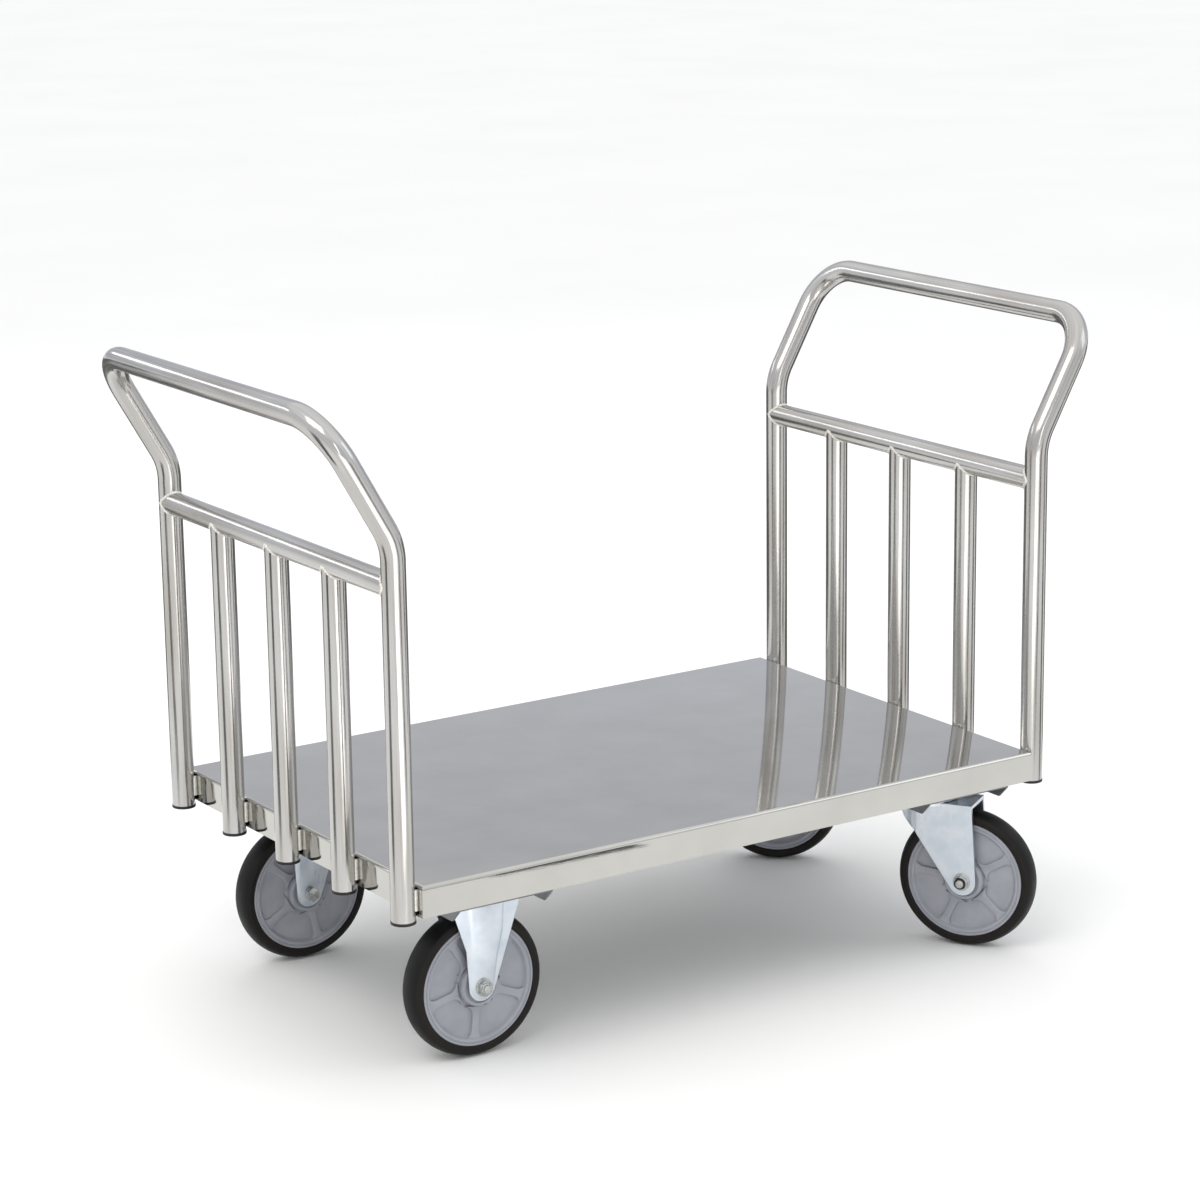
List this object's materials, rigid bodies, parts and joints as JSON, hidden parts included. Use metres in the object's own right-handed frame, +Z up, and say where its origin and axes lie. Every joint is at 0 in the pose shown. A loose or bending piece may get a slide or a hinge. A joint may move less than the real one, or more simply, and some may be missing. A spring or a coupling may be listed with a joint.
{
  "type": "hotel luggage cart",
  "caption": "Two-ended hotel luggage cart: folded-steel deck, a barred tubular end frame with an outward-leaning handle at each end, fixed casters at one end and swivel casters at the other.",
  "frame": {"origin": "on the floor, under the middle of the deck, at the plane the four tyres stand on", "axes": "+X along the deck to the swivel caster end, +Y across the deck from the near side to the far side, +Z up"},
  "size_m": [1.2576, 0.6964, 0.904],
  "materials": {
    "tube_steel": "satin polished stainless tube",
    "deck_steel": "smooth semi-bright sheet",
    "frame_steel": "dull mill finish",
    "zinc_steel": "bluish bright zinc plating",
    "fasteners": "zinc plated",
    "black_plastic": "moulded, matte",
    "tyre": "smooth matte rubber",
    "grey_core": "moulded, satin"
  },
  "bodies": {
    "cart": {"deck_tray": "deck_steel", "rail_near": "frame_steel", "rail_far": "frame_steel", "channel_fixed": "frame_steel", "channel_swivel": "frame_steel", "left_hoop": "tube_steel", "right_hoop": "tube_steel", "left_crossbar": "tube_steel", "right_crossbar": "tube_steel", "left_bar_near": "tube_steel", "left_bar_middle": "tube_steel", "left_bar_far": "tube_steel", "right_bar_near": "tube_steel", "right_bar_middle": "tube_steel", "right_bar_far": "tube_steel", "left_plugs": "black_plastic", "right_plugs": "black_plastic", "fixed_fork_near": "zinc_steel", "fixed_fork_far": "zinc_steel", "fixed_bolts_near": "fasteners", "fixed_bolts_far": "fasteners", "fixed_axle_near": "fasteners", "fixed_axle_far": "fasteners", "fixed_nut_near": "fasteners", "fixed_nut_far": "fasteners", "fixed_sleeve_near": "fasteners", "fixed_sleeve_far": "fasteners", "swivel_plate_near": "zinc_steel", "swivel_plate_far": "zinc_steel", "swivel_bolts_near": "fasteners", "swivel_bolts_far": "fasteners", "swivel_dust_near": "zinc_steel", "swivel_dust_far": "zinc_steel", "swivel_balls_near": "fasteners", "swivel_balls_far": "fasteners", "swivel_pin_near": "fasteners", "swivel_pin_far": "fasteners", "swivel_pin_nut_near": "fasteners", "swivel_pin_nut_far": "fasteners"},
    "fixed_wheel_near": {"fixed_core_near": "grey_core", "fixed_tyre_near": "tyre", "fixed_rollers_near": "fasteners"},
    "swivel_near": {"swivel_fork_near": "zinc_steel", "swivel_axle_near": "fasteners", "swivel_nut_near": "fasteners", "swivel_sleeve_near": "fasteners"},
    "swivel_wheel_near": {"swivel_core_near": "grey_core", "swivel_tyre_near": "tyre", "swivel_rollers_near": "fasteners"},
    "fixed_wheel_far": {"fixed_core_far": "grey_core", "fixed_tyre_far": "tyre", "fixed_rollers_far": "fasteners"},
    "swivel_far": {"swivel_fork_far": "zinc_steel", "swivel_axle_far": "fasteners", "swivel_nut_far": "fasteners", "swivel_sleeve_far": "fasteners"},
    "swivel_wheel_far": {"swivel_core_far": "grey_core", "swivel_tyre_far": "tyre", "swivel_rollers_far": "fasteners"}
  },
  "joints": [
    {"name": "fixed_axle_turn_near", "type": "hinge", "parent": "cart", "child": "fixed_wheel_near", "pos_m": [-0.3765, -0.232, 0.1], "axis": [0, 1, 0], "continuous": true},
    {"name": "fixed_axle_turn_far", "type": "hinge", "parent": "cart", "child": "fixed_wheel_far", "pos_m": [-0.3765, 0.232, 0.1], "axis": [0, 1, 0], "continuous": true},
    {"name": "swivel_turn_near", "type": "hinge", "parent": "cart", "child": "swivel_near", "pos_m": [0.3905, -0.232, 0.211], "axis": [0, 0, 1], "continuous": true},
    {"name": "swivel_axle_turn_near", "type": "hinge", "parent": "swivel_near", "child": "swivel_wheel_near", "pos_m": [0.42318, -0.28232, 0.1], "axis": [0.8387, 0.5446, 0], "continuous": true},
    {"name": "swivel_turn_far", "type": "hinge", "parent": "cart", "child": "swivel_far", "pos_m": [0.3905, 0.232, 0.211], "axis": [0, 0, 1], "continuous": true},
    {"name": "swivel_axle_turn_far", "type": "hinge", "parent": "swivel_far", "child": "swivel_wheel_far", "pos_m": [0.43509, 0.19185, 0.1], "axis": [0.6691, 0.7431, 0], "continuous": true}
  ]
}
